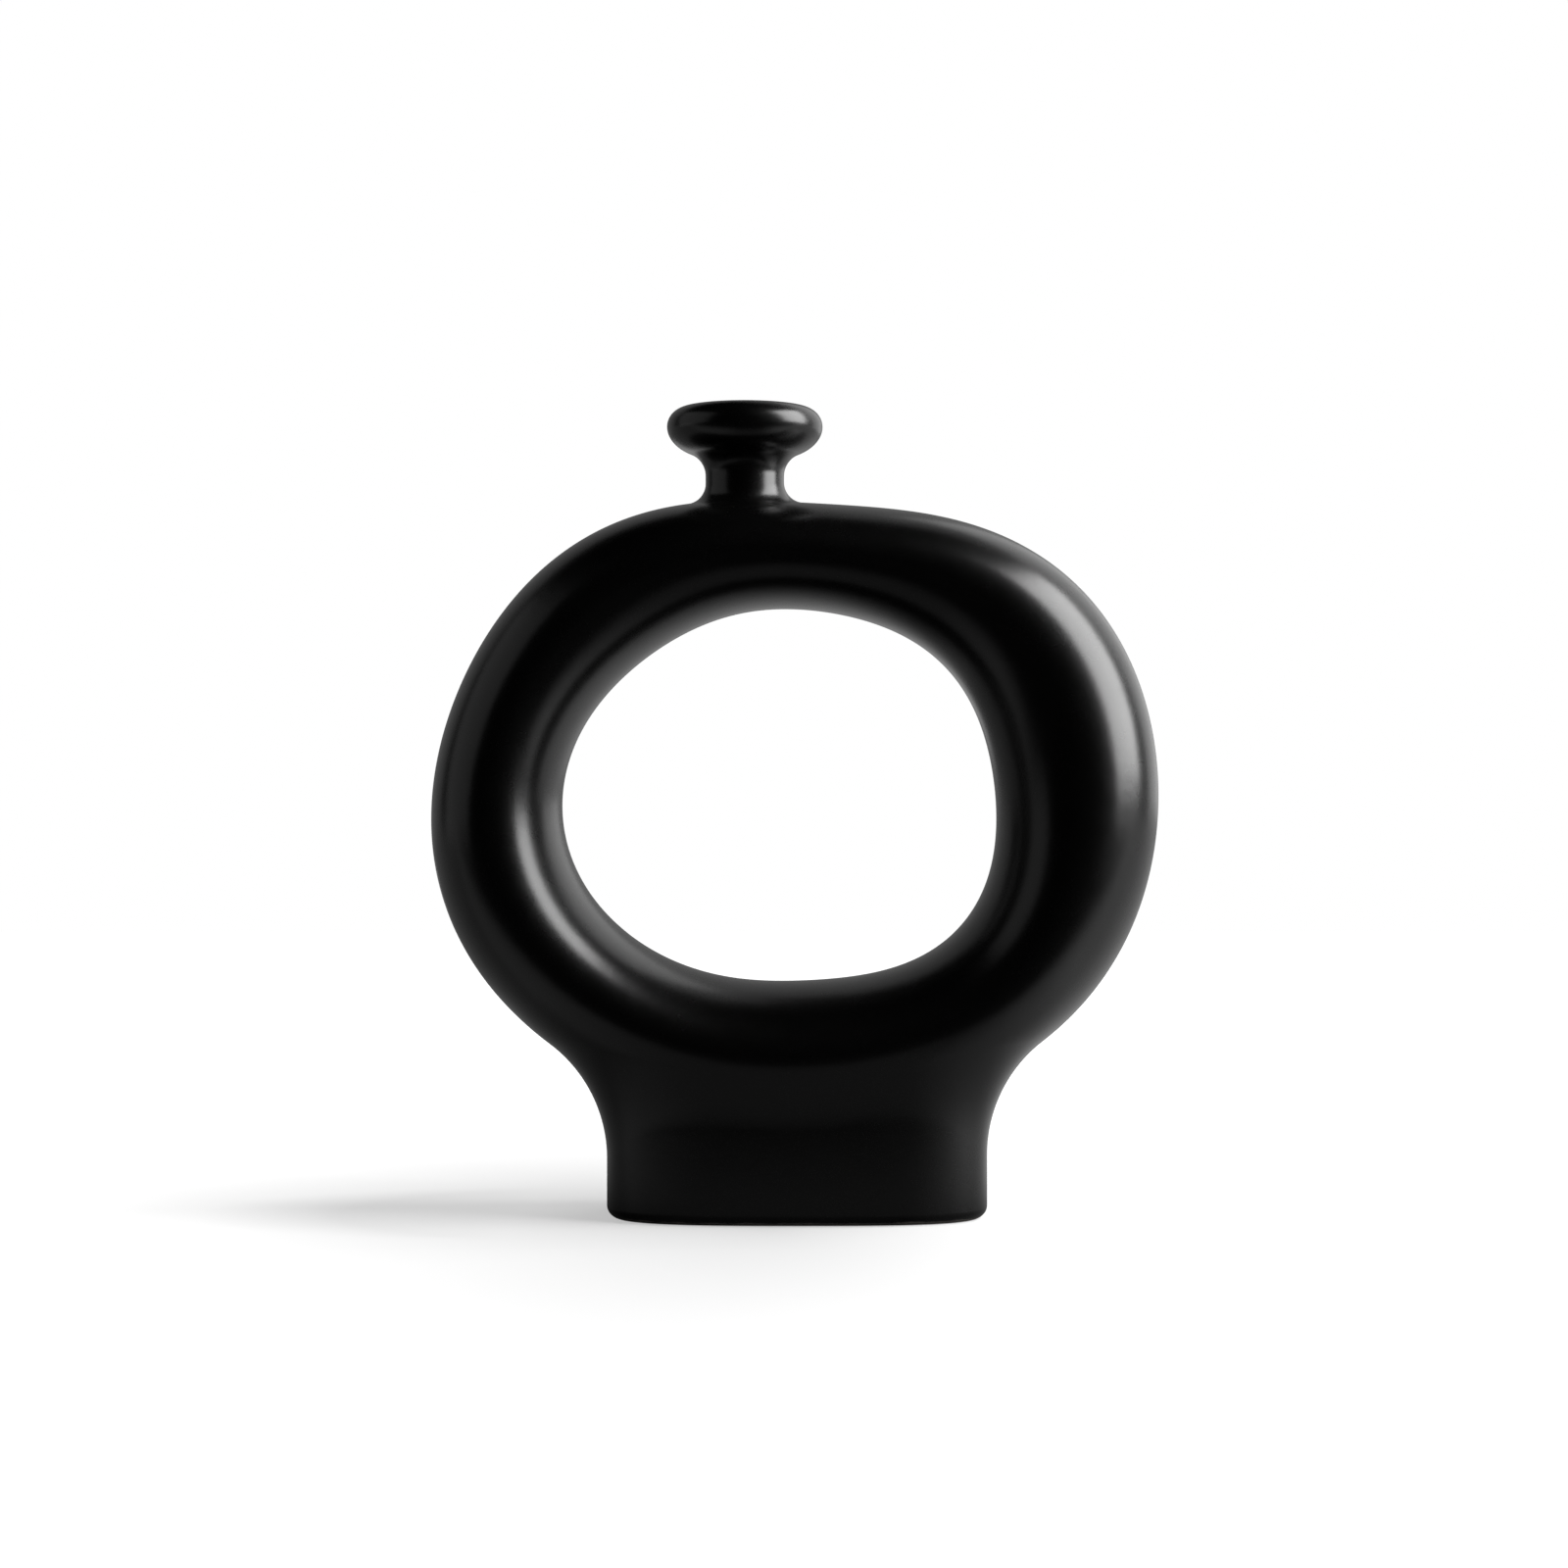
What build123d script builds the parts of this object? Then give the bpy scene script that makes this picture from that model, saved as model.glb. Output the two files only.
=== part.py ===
from build123d import *
import math
import os

# Sizes in millimetres. The origin is on the table, under the middle of the vase. +Z is up, the front is -Y.

# Hollow ring, measured from the middle of its hole at the hours of a clock: three o'clock, two o'clock and so on
hole_centre_x = -4.4
hole_centre_z = 128.9
hole_radii = (66.5, 65.3, 60.8, 57.6, 58.0, 62.0, 67.2, 65.6, 60.2, 57.2, 62.5, 69.2)
limb_widths = (50.0, 48.5, 38.5, 33.0, 39.9, 40.8, 39.9, 41.8, 42.0, 44.0, 43.0, 44.9)
ring_depth_top = 56.0
ring_depth_bottom = 66.0
ring_wall = 4.5

# Oval foot: a wall that flares into the ring, and a floor set in from its rim. Its depth and the radius of its
# flare go by the depth of the ring above it.
foot_centre_x = 0.8
foot_width = 116.8
foot_depth_share = 0.88
foot_squareness = 3.2
foot_wall_thickness = 7.0
foot_flare_share = 0.667
foot_edge_round = 3.5
foot_seat_rise = 3.0
floor_recess = 2.5
floor_thickness = 5.5

# Neck and rolled lip, both turned about one upright axis
neck_axis_x = -15.3
neck_diameter = 24.2
neck_base_round = 6.5
neck_seat_rise = 1.6
neck_height = 4.4
bore_diameter = 15.0
lip_diameter = 48.0
lip_rise = 15.7
lip_under_height = 9.5
lip_edge_width = 6.4
lip_edge_height = 6.0
lip_throat_round = 7.5
lip_mouth_round = 2.2

# Slip in every joint
slip = 0.6

# Points on each section of the ring and on the foot's oval, and steps from section to section in half a ring
section_points = 16
oval_points = 48
arch_steps = 12

# Sizes that follow from those above
hours = len(hole_radii)
block_size = 4 * hole_centre_z
foot_depth = ring_depth_bottom * foot_depth_share
foot_flare_radius = ring_depth_bottom * foot_flare_share
neck_radius = neck_diameter / 2
bore_radius = bore_diameter / 2
lip_radius = lip_diameter / 2
mouth_radius = bore_radius + lip_mouth_round
floor_top_z = floor_recess + floor_thickness

UP = Vector(0, 0, 1)
BACK = Vector(0, 1, 0)


def hour_weight(angle):
    """Share of one hour's size at an angle away from that hour: 1 there, 0 at each other hour."""
    if abs(math.sin(angle / 2)) < 1e-9:
        return 1.0
    return math.sin(hours * angle / 2) / (hours * math.tan(angle / 2))


def around(sizes, angle):
    """Smooth closed curve through the sizes at the hours."""
    step = 2 * math.pi / hours
    return sum(size * hour_weight(angle - step * hour) for hour, size in enumerate(sizes))


def limb_middle(angle):
    """Distance from the hole's middle to the middle of the ring's limb."""
    return around(hole_radii, angle) + around(limb_widths, angle) / 2


def ring_section(angle, inset):
    """Oval section of the ring at an angle, set in by a distance. It starts at the hole."""
    half_width = around(limb_widths, angle) / 2 - inset
    lift = (1 + math.sin(angle)) / 2
    half_depth = (ring_depth_bottom + (ring_depth_top - ring_depth_bottom) * lift) / 2 - inset
    points = []
    for step in range(section_points):
        turn = 2 * math.pi * step / section_points
        radius = limb_middle(angle) - half_width * math.cos(turn)
        x = hole_centre_x + radius * math.cos(angle)
        z = hole_centre_z + radius * math.sin(angle)
        points.append(Vector(x, half_depth * math.sin(turn), z))
    return Wire([Edge.make_spline(points, periodic=True)])


def ring_arch(start, inset):
    """Half of the ring, from an angle on, with one section to spare past each end."""
    step = math.pi / arch_steps
    angles = [start + step * count for count in range(-1, arch_steps + 2)]
    return Solid.make_loft([ring_section(angle, inset) for angle in angles])


def foot_block(inset, bottom, top):
    """Upright block with the foot's squared oval outline, set in by a distance."""
    power = 2 / foot_squareness
    points = []
    for step in range(oval_points):
        angle = 2 * math.pi * step / oval_points
        along = math.copysign(abs(math.cos(angle)) ** power, math.cos(angle))
        across = math.copysign(abs(math.sin(angle)) ** power, math.sin(angle))
        x = foot_centre_x + (foot_width / 2 - inset) * along
        y = (foot_depth / 2 - inset) * across
        points.append(Vector(x, y, bottom))
    outline = Wire([Edge.make_spline(points, periodic=True)])
    return Solid.extrude(Face(outline), Vector(0, 0, top - bottom))


def neck_post(radius, bottom, top):
    """Round post on the neck's axis."""
    return Solid.make_cylinder(radius, top - bottom, Plane((neck_axis_x, 0, bottom)))


def blend(first, second, radius):
    """Two solids in one, with a round in the corner between them."""
    both = first.fuse(second)
    return both.fillet(radius, new_edges(first, second, combined=both))


def block_on(plane):
    """Block with its base on a plane, larger than the vase."""
    return Solid.extrude(Face.make_rect(block_size, block_size, plane), plane.z_dir * block_size)


def slices(solid, direction, places):
    """Slices of a solid, cut across a direction at places along it, in order."""
    cut = []
    rest = solid
    for place in places:
        plane = Plane(direction * place, z_dir=direction)
        cut.append(rest.cut(block_on(plane)))
        rest = rest.cut(block_on(-plane))
    return cut + [rest]


def upper_shell():
    """Upper half of the ring with the neck on it, hollow. The neck is left long."""
    _, arch = slices(ring_arch(0, 0), UP, [hole_centre_z])
    root = hole_centre_z + limb_middle(math.pi / 2)
    top = lip_seam_z + 2 * neck_base_round
    outside = blend(arch, neck_post(neck_radius, root, top), neck_base_round)
    return outside.cut(ring_arch(0, ring_wall)).cut(neck_post(bore_radius, root, top))


def lower_shell():
    """Lower half of the ring with the foot under it, hollow and open below."""
    arch, _ = slices(ring_arch(math.pi, 0), UP, [hole_centre_z])
    root = hole_centre_z - limb_middle(-math.pi / 2)
    outside = blend(arch, foot_block(0, 0, root), foot_flare_radius)
    rim = outside.faces().sort_by(Axis.Z)[0].outer_wire().edges()
    outside = outside.fillet(foot_edge_round, rim)
    return outside.cut(ring_arch(math.pi, ring_wall)).cut(foot_block(foot_wall_thickness, 0, root))


def foot_floor():
    """Slab that closes the foot."""
    return foot_block(foot_wall_thickness + slip, floor_recess, floor_top_z)


def floor_seam():
    """Slip between the floor's edge and the foot's wall."""
    return foot_block(foot_wall_thickness, floor_recess, floor_top_z).cut(foot_floor())


def neck_tube(bottom, top):
    """Plain length of the neck, with its bore."""
    return neck_post(neck_radius, bottom, top).cut(neck_post(bore_radius, bottom, top))


def lip_bead(middle):
    """Flat-topped rolled rim about a height: quarter ovals under and over its edge, and a round into the mouth."""
    bottom = middle - lip_under_height
    top = middle + lip_edge_height
    reach = lip_radius - mouth_radius
    edge_start = lip_radius - lip_edge_width
    under = EllipticalCenterArc((mouth_radius, middle), reach, lip_under_height, -90, arc_size=90)
    over = EllipticalCenterArc((edge_start, middle), lip_edge_width, lip_edge_height, 0, arc_size=90)
    flat = Line((edge_start, top), (mouth_radius, top))
    mouth = CenterArc((mouth_radius, top - lip_mouth_round), lip_mouth_round, 90, 90)
    inside = Polyline((bore_radius, top - lip_mouth_round), (bore_radius, bottom), (mouth_radius, bottom))
    profile = make_face([under, over, flat, mouth, inside])
    turned = revolve(Plane.XZ * profile, Axis.Z)
    return (Pos(neck_axis_x, 0, 0) * turned).solid()


def lip(bottom):
    """Rolled rim on its short throat, from a height up."""
    middle = bottom + lip_rise
    return blend(neck_tube(bottom, middle), lip_bead(middle), lip_throat_round)


# Heights of the joints, from the underside and the top of the ring
ring_underside_z = ring_arch(math.pi, 0).bounding_box().min.Z
ring_top_z = ring_arch(0, 0).bounding_box().max.Z
foot_seam_z = ring_underside_z + foot_seat_rise
neck_seam_z = ring_top_z + neck_seat_rise
lip_seam_z = neck_seam_z + slip + neck_height

# The clay parts, and the slip between them
foot_wall, foot_seam, ring_bottom = slices(lower_shell(), UP, [foot_seam_z, foot_seam_z + slip])
ring_top, neck_seam, neck, _ = slices(upper_shell(), UP, [neck_seam_z, neck_seam_z + slip, lip_seam_z])
ring_front, ring_seams, ring_back = slices(ring_bottom.fuse(ring_top), BACK, [-slip / 2, slip / 2])
left_seam, hole_seam, right_seam = ShapeList(ring_seams).sort_by(Axis.X)

pieces = {
    "ring_front": ring_front,
    "ring_back": ring_back,
    "left_seam": left_seam,
    "hole_seam": hole_seam,
    "right_seam": right_seam,
    "foot_wall": foot_wall,
    "foot_floor": foot_floor(),
    "foot_seam": foot_seam,
    "floor_seam": floor_seam(),
    "neck": neck,
    "neck_seam": neck_seam,
    "lip": lip(lip_seam_z + slip),
    "lip_seam": neck_tube(lip_seam_z, lip_seam_z + slip),
}

os.makedirs("parts", exist_ok=True)
for name, piece in pieces.items():
    export_step(piece, f"parts/{name}.step")
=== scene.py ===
"""Donut vase in black glazed stoneware: its parts as smooth surfaces, their finishes and the studio."""
import logging
import math
from collections.abc import Callable, Sequence
from dataclasses import dataclass
from enum import Enum
from typing import Any

import bpy
import numpy as np
from mathutils import Matrix, Vector


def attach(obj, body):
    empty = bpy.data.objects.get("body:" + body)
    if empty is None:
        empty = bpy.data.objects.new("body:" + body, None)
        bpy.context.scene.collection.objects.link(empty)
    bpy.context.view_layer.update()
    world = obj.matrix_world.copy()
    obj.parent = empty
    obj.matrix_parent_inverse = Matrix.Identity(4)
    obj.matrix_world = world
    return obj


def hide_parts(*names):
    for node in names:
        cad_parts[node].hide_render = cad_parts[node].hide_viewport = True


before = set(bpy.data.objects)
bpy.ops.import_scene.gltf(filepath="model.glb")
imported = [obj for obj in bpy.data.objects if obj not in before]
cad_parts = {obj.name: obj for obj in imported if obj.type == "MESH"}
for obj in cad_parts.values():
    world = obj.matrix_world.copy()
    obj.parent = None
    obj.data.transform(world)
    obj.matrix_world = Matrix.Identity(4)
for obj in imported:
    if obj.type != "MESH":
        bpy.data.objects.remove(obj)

Array = np.ndarray
Colour = tuple[float, float, float, float]
Numbers = Sequence[float] | Array
Place = tuple[float, float, float]
Run = tuple[Array, Array]
Settings = dict[str, Any]
Sockets = dict[str | int, Any]

LOG = logging.getLogger("donut_vase")
METRES = 0.001
WHITE: Colour = (1.0, 1.0, 1.0, 1.0)
UP: Place = (0.0, 0.0, 1.0)
DOWN: Place = (0.0, 0.0, -1.0)
NOISE_MIDDLE = 0.5
RING_MIDDLE: Place = (0.0, 0.0, 0.13)
RING_TOP: Place = (0.0, 0.0, 0.20)


class Side(Enum):
    """Half of the ring, by the sign of its Y."""

    FRONT = -1
    BACK = 1


class Level(Enum):
    """Which side of the ring a post stands on."""

    UNDER = -1
    TOP = 1


class Along(Enum):
    """Axis that a place is measured along."""

    X = "X"
    Y = "Y"
    Z = "Z"


class Ray(Enum):
    """Kind of a ray of light, as the renderer calls it."""

    CAMERA = "Is Camera Ray"
    TRANSMISSION = "Is Transmission Ray"
    GLOSSY = "Is Glossy Ray"
    DIFFUSE = "Is Diffuse Ray"


def unit(vectors: Array) -> Array:
    """Vectors made one long."""
    return vectors / np.linalg.norm(vectors, axis=-1, keepdims=True)


def headings(count: int) -> Array:
    """Even headings all the way round, without the last, which is the first again."""
    return np.linspace(0.0, 2 * math.pi, count, endpoint=False)


@dataclass
class Sheet:
    """Grid of points in millimetres with the outward direction at each. Rows follow the profile."""

    points: Array
    directions: Array

    @classmethod
    def band(cls, first: Array, last: Array, direction: Numbers) -> "Sheet":
        """Flat sheet from one row of points to another, with one direction for each column or for all."""
        points = np.stack([first, last])
        return cls(points, np.broadcast_to(np.asarray(direction, dtype=float), points.shape))


def at_corners(lower: Array, upper: Array) -> Array:
    """What two grids say at the four corners of each square between them, in order round the square."""
    return np.stack([lower, np.roll(lower, -1, axis=1), np.roll(upper, -1, axis=1), upper], axis=2)


@dataclass
class Skin:
    """Closed skin: sheets in a loop, where each starts on the last row of the one before."""

    sheets: list[Sheet]
    whole: bool = True
    opening: Callable[[Array], Array] | None = None

    def _squares(self, points: Array, numbers: Array) -> tuple[Array, Array]:
        """Four-cornered faces between neighbours, less those in the opening.

        Rows join up at the end of the loop, and columns too if the skin is whole. The corners run so that
        the faces look the way that the directions point.

        Args:
            points: Points of the skin, rows by columns.
            numbers: Number of each point, rows by columns.

        Returns:
            Four corners of each face, and the direction at each corner.
        """
        lower = np.concatenate([sheet.directions[:-1] for sheet in self.sheets])
        upper = np.concatenate([sheet.directions[1:] for sheet in self.sheets])
        corners = at_corners(numbers, np.roll(numbers, -1, axis=0))
        directions = at_corners(lower, upper)
        if not self.whole:
            corners = corners[:, :-1]
            directions = directions[:, :-1]
        corners = corners.reshape(-1, 4)
        directions = directions.reshape(-1, 4, 3)
        places = points.reshape(-1, 3)
        if self.opening is not None:
            kept = ~self.opening(places[corners].mean(axis=1))
            corners = corners[kept]
            directions = directions[kept]
        diagonals = places[corners[:, 2:]] - places[corners[:, :2]]
        square = np.cross(diagonals[:, 0], diagonals[:, 1])
        if np.sum(square * directions.mean(axis=1)) < 0:
            return corners[:, ::-1], directions[:, ::-1]
        return corners, directions

    def _cap(self, points: Array, numbers: Array, end: int, inner: int) -> tuple[list[int], Array]:
        """Flat face that closes one end of the skin.

        Args:
            points: Points of the skin, rows by columns.
            numbers: Number of each point, rows by columns.
            end: Column at that end.
            inner: Column next to it.

        Returns:
            Corners of the face, and the direction at each.
        """
        rim = points[:, end]
        away = unit((rim - points[:, inner]).mean(axis=0))
        area = np.cross(rim, np.roll(rim, -1, axis=0)).sum(axis=0)
        facing = np.sign(area @ away)
        order = numbers[:, end] if facing > 0 else numbers[::-1, end]
        return order.tolist(), np.broadcast_to(unit(area) * facing, rim.shape)

    def faces(self) -> tuple[Array, list[list[int]], Array]:
        """Points, faces and the direction at each corner. A skin that isn't whole gets a cap at each end.

        Returns:
            Points, lists of corners, and one direction for each corner in the same order.
        """
        points = np.concatenate([sheet.points[:-1] for sheet in self.sheets])
        rows, columns = points.shape[:2]
        numbers = np.arange(rows * columns).reshape(rows, columns)
        corners, directions = self._squares(points, numbers)
        loops = corners.tolist()
        spread = [directions.reshape(-1, 3)]
        if not self.whole:
            for end, inner in ((0, 1), (-1, -2)):
                loop, facing = self._cap(points, numbers, end, inner)
                loops.append(loop)
                spread.append(facing)
        return points.reshape(-1, 3), loops, np.concatenate(spread)


def make_piece(name: str, skins: Sequence[Skin]) -> bpy.types.Object:
    """Piece of the vase from its skins, with the true directions kept at the corners of its faces.

    Args:
        name: Name of the piece.
        skins: Closed skins that make up the piece.

    Returns:
        Object at the origin, in metres.
    """
    points: list[Array] = []
    loops: list[list[int]] = []
    directions: list[Array] = []
    used = 0
    for skin in skins:
        places, faces, spread = skin.faces()
        points.append(places * METRES)
        loops.extend([[corner + used for corner in face] for face in faces])
        directions.append(spread)
        used += len(places)
    mesh = bpy.data.meshes.new(name)
    mesh.from_pydata(np.concatenate(points).tolist(), [], loops)
    mesh.polygons.foreach_set("use_smooth", np.ones(len(loops), dtype=bool))
    mesh.normals_split_custom_set(np.concatenate(directions).tolist())
    mesh.update()
    piece = bpy.data.objects.new(name, mesh)
    bpy.context.scene.collection.objects.link(piece)
    return piece


@dataclass(frozen=True)
class HourCurve:
    """Smooth closed curve through sizes at the hours of a clock, from three o'clock on towards two."""

    sizes: tuple[float, ...]

    def _waves(self) -> tuple[Array, Array]:
        """Waves that add up to the curve, by the Fourier transform of the sizes.

        Returns:
            Number of each wave, and its complex height.
        """
        count = len(self.sizes)
        heights = np.fft.rfft(self.sizes) / count
        numbers = np.arange(heights.size)
        heights[1:(count + 1) // 2] *= 2
        return numbers, heights

    def value(self, angle: Array) -> Array:
        """Size at each angle: the sum of the waves, each turned by its number times the angle."""
        numbers, heights = self._waves()
        return (np.exp(1j * np.multiply.outer(angle, numbers)) @ heights).real

    def slope(self, angle: Array) -> Array:
        """Change of size per radian: the same sum with each wave times i and its number."""
        numbers, heights = self._waves()
        return (np.exp(1j * np.multiply.outer(angle, numbers)) @ (1j * numbers * heights)).real


@dataclass(frozen=True)
class RingForm:
    """Skin of the ring, in millimetres: an oval section carried round the hole."""

    centre_x: float = -4.4
    centre_z: float = 128.9
    hole: HourCurve = HourCurve((66.5, 65.3, 60.8, 57.6, 58.0, 62.0, 67.2, 65.6, 60.2, 57.2, 62.5, 69.2))
    limb: HourCurve = HourCurve((50.0, 48.5, 38.5, 33.0, 39.9, 40.8, 39.9, 41.8, 42.0, 44.0, 43.0, 44.9))
    depth_top: float = 56.0
    depth_bottom: float = 66.0
    wall: float = 4.5

    def half_depth(self, angle: Array) -> Array:
        """Half of the ring's depth, which falls evenly with height."""
        lift = (1 + np.sin(angle)) / 2
        return (self.depth_bottom + (self.depth_top - self.depth_bottom) * lift) / 2

    def half_depth_slope(self, angle: Array) -> Array:
        """Change of half the depth per radian."""
        return (self.depth_top - self.depth_bottom) / 4 * np.cos(angle)

    def middle(self, angle: Array) -> Array:
        """Distance from the middle of the hole to the middle of the limb."""
        return self.hole.value(angle) + self.limb.value(angle) / 2

    def locate(self, angle: Array, turn: Array, inset: float = 0.0) -> Array:
        """Points of the skin.

        The reach from the middle of the hole is the limb's middle less half its width times cos(turn), and
        the depth is half the ring's depth times sin(turn).

        Args:
            angle: Angle round the hole, from three o'clock.
            turn: Angle round the section, from the hole. Half a turn is the outside.
            inset: Distance that the section is set in.

        Returns:
            Points, with one more axis than the angles.
        """
        half_width = self.limb.value(angle) / 2 - inset
        reach = self.middle(angle) - half_width * np.cos(turn)
        depth = (self.half_depth(angle) - inset) * np.sin(turn)
        x = self.centre_x + reach * np.cos(angle)
        z = self.centre_z + reach * np.sin(angle)
        return np.stack(np.broadcast_arrays(x, depth, z), axis=-1)

    def outward(self, angle: Array, turn: Array) -> Array:
        """Unit outward directions: the slope along the angle crossed with the slope along the turn.

        Args:
            angle: Angle round the hole, from three o'clock.
            turn: Angle round the section, from the hole.

        Returns:
            Directions, with one more axis than the angles.
        """
        half_width = self.limb.value(angle) / 2
        half_slope = self.limb.slope(angle) / 2
        reach = self.middle(angle) - half_width * np.cos(turn)
        reach_slope = self.hole.slope(angle) + half_slope * (1 - np.cos(turn))
        along = np.stack(np.broadcast_arrays(
            reach_slope * np.cos(angle) - reach * np.sin(angle),
            self.half_depth_slope(angle) * np.sin(turn),
            reach_slope * np.sin(angle) + reach * np.cos(angle),
        ), axis=-1)
        across = np.stack(np.broadcast_arrays(
            half_width * np.sin(turn) * np.cos(angle),
            self.half_depth(angle) * np.cos(turn),
            half_width * np.sin(turn) * np.sin(angle),
        ), axis=-1)
        return unit(np.cross(along, across))


@dataclass(frozen=True)
class Oval:
    """Upright squared oval: |x / half width| and |y / half depth|, each to the power, add up to one."""

    centre_x: float
    half_width: float
    half_depth: float
    power: float = 2.0

    def _reach(self, heading: Array) -> Array:
        """Distance to the oval: the sum of powers along a heading, to the power of minus one over the power.

        Args:
            heading: Angle about the middle of the oval.

        Returns:
            Distance at each heading.
        """
        along = np.abs(np.cos(heading) / self.half_width) ** self.power
        across = np.abs(np.sin(heading) / self.half_depth) ** self.power
        return (along + across) ** (-1 / self.power)

    def outward(self, heading: Array) -> Array:
        """Level unit directions square to the oval: the slope of the sum of powers.

        Args:
            heading: Angle about the middle of the oval.

        Returns:
            Directions, with one more axis than the headings.
        """
        reach = self._reach(heading)
        x = reach * np.cos(heading)
        y = reach * np.sin(heading)
        steepness_x = np.sign(x) * np.abs(x / self.half_width) ** (self.power - 1) / self.half_width
        steepness_y = np.sign(y) * np.abs(y / self.half_depth) ** (self.power - 1) / self.half_depth
        return unit(np.stack([steepness_x, steepness_y, np.zeros_like(x)], axis=-1))

    def locate(self, heading: Array, height: Array | float, inset: Array | float = 0.0) -> Array:
        """Points on the oval.

        Args:
            heading: Angle about the middle of the oval.
            height: Height of each point.
            inset: Distance that each point is moved in, square to the oval.

        Returns:
            Points in millimetres, with one more axis than the arguments.
        """
        reach = self._reach(heading)
        edge = self.outward(heading)
        x = self.centre_x + reach * np.cos(heading) - inset * edge[..., 0]
        y = reach * np.sin(heading) - inset * edge[..., 1]
        return np.stack(np.broadcast_arrays(x, y, np.asarray(height, dtype=float)), axis=-1)


@dataclass(frozen=True)
class BallBlend:
    """Hollow round between the ring and an upright post: the track of a ball rolled along the corner."""

    ring: RingForm
    post: Oval
    radius: float
    level: Level
    rounds: int = 25
    nudge: float = 1e-5

    def _ball(self, angle: Array, turn: Array) -> Array:
        """Middle of a ball that touches the ring's skin: the point plus the radius along its direction."""
        return self.ring.locate(angle, turn) + self.radius * self.ring.outward(angle, turn)

    def _touch(self, heading: Array) -> tuple[Array, Array]:
        """Place on the ring where the ball that touches the post at each heading touches the ring.

        The ball's middle is known from above, one radius out from the post, so the two angles on the ring
        follow from two equations, and Newton's steps solve them for all headings at once.

        Args:
            heading: Angle about the post.

        Returns:
            Angle round the hole and angle round the section, for each heading.
        """
        goal = self.post.locate(heading, 0.0, -self.radius)
        straight = np.array(self.level.value * math.pi / 2)
        lean = np.arcsin(goal[..., 1] / (self.ring.half_depth(straight) + self.radius))
        turn = math.pi - lean
        width = self.ring.middle(straight) + self.radius * np.cos(lean)
        angle = self.level.value * np.arccos((goal[..., 0] - self.ring.centre_x) / width)
        step = self.nudge
        for _ in range(self.rounds):
            miss = goal - self._ball(angle, turn)
            along = (self._ball(angle + step, turn) - self._ball(angle - step, turn)) / (2 * step)
            across = (self._ball(angle, turn + step) - self._ball(angle, turn - step)) / (2 * step)
            area = along[..., 0] * across[..., 1] - along[..., 1] * across[..., 0]
            angle = angle + (miss[..., 0] * across[..., 1] - miss[..., 1] * across[..., 0]) / area
            turn = turn + (along[..., 0] * miss[..., 1] - along[..., 1] * miss[..., 0]) / area
        return angle, turn

    def _arc(self, heading: Array) -> tuple[Array, Array, Array, Array]:
        """Arc of the ball between the post and the ring.

        Args:
            heading: Angle about the post.

        Returns:
            Middle of the ball, its directions to the post and to the ring, and the angle between these.
        """
        angle, turn = self._touch(heading)
        centre = self._ball(angle, turn)
        to_post = -self.post.outward(heading)
        to_ring = -self.ring.outward(angle, turn)
        spread = np.arccos(np.clip(np.sum(to_post * to_ring, axis=-1), -1.0, 1.0))
        return centre, to_post, to_ring, spread

    def share_at(self, heading: Array, height: float) -> Array:
        """Share of the arc, from the post, at which it crosses a height.

        Args:
            heading: Angle about the post.
            height: Height in millimetres.

        Returns:
            Share at each heading, 0 where the post is still straight at that height.
        """
        centre, _, to_ring, spread = self._arc(heading)
        rise = (height - centre[..., 2]) / self.radius * np.sin(spread) / to_ring[..., 2]
        return np.clip(np.arcsin(np.clip(rise, -1.0, 1.0)) / spread, 0.0, 1.0)

    def sweep(self, heading: Array, share: Array) -> Sheet:
        """Sheet of the blend: the ball's middle plus its radius along a direction turned from post to ring.

        Args:
            heading: Angles about the post, one per column.
            share: Shares of the arc, rows by columns.

        Returns:
            Sheet with the directions that point to the ball's middle.
        """
        centre, to_post, to_ring, spread = self._arc(heading)
        near = (np.sin((1 - share) * spread) / np.sin(spread))[..., None]
        far = (np.sin(share * spread) / np.sin(spread))[..., None]
        spoke = near * to_post + far * to_ring
        return Sheet(centre + self.radius * spoke, -spoke)

    def column(self, heading: Array, heights: Array) -> Sheet:
        """Sheet of the post's side at given heights: upright, and then along the blend.

        Args:
            heading: Angles about the post, one per column.
            heights: Height of each row.

        Returns:
            Sheet with its directions.
        """
        share = np.stack([self.share_at(heading, height) for height in heights])
        sheet = self.sweep(heading, share)
        sheet.points[..., 2] = heights[:, None]
        return sheet


class Value:
    """Socket that carries a number. Python's operators on it add Math nodes."""

    def __init__(self, graph: "Graph", socket: bpy.types.NodeSocket) -> None:
        """Keep the socket and the graph that it is in."""
        self.graph = graph
        self.socket = socket

    def _math(self, operation: str, first: "Value | float", second: "Value | float") -> "Value":
        """Result of one Math node on two numbers."""
        return self.graph.add("ShaderNodeMath", {"operation": operation}, {0: first, 1: second})

    def __add__(self, other: "Value | float") -> "Value":
        """Sum."""
        return self._math("ADD", self, other)

    def __radd__(self, other: float) -> "Value":
        """Sum, with the number first."""
        return self._math("ADD", other, self)

    def __sub__(self, other: "Value | float") -> "Value":
        """Difference."""
        return self._math("SUBTRACT", self, other)

    def __rsub__(self, other: float) -> "Value":
        """Difference, with the number first."""
        return self._math("SUBTRACT", other, self)

    def __mul__(self, other: "Value | float") -> "Value":
        """Product."""
        return self._math("MULTIPLY", self, other)

    def __rmul__(self, other: float) -> "Value":
        """Product, with the number first."""
        return self._math("MULTIPLY", other, self)

    def least(self, other: "Value | float") -> "Value":
        """The smaller of the two numbers."""
        return self._math("MINIMUM", self, other)

    def clamped(self) -> "Value":
        """The number kept between 0 and 1."""
        return self.graph.add("ShaderNodeClamp", {}, {0: self})


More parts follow.
